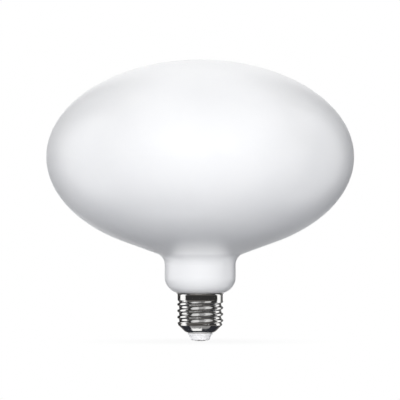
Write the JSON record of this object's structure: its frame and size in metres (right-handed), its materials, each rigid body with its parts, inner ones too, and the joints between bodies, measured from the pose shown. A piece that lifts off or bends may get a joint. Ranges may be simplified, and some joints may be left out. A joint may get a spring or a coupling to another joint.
{
  "type": "led oval bulb",
  "caption": "Opal white light bulb with a wide flat oval envelope, a short round neck and a metal Edison screw cap.",
  "frame": {"origin": "middle of the centre contact's flat outer face, on the cap's axis", "axes": "+Z along the bulb's axis, from the contact up to the top of the oval; the bulb is round about it"},
  "size_m": [0.1754, 0.1754, 0.1602],
  "materials": {
    "opal_glass": "matte opal, satin",
    "plated_shell": "bright nickel plate",
    "white_insulator": "satin moulded",
    "contact_metal": "tinned, slightly dull"
  },
  "bodies": {
    "root": {"glass_envelope": "opal_glass", "screw_shell": "plated_shell", "insulator": "white_insulator", "centre_contact": "contact_metal"}
  },
  "joints": []
}
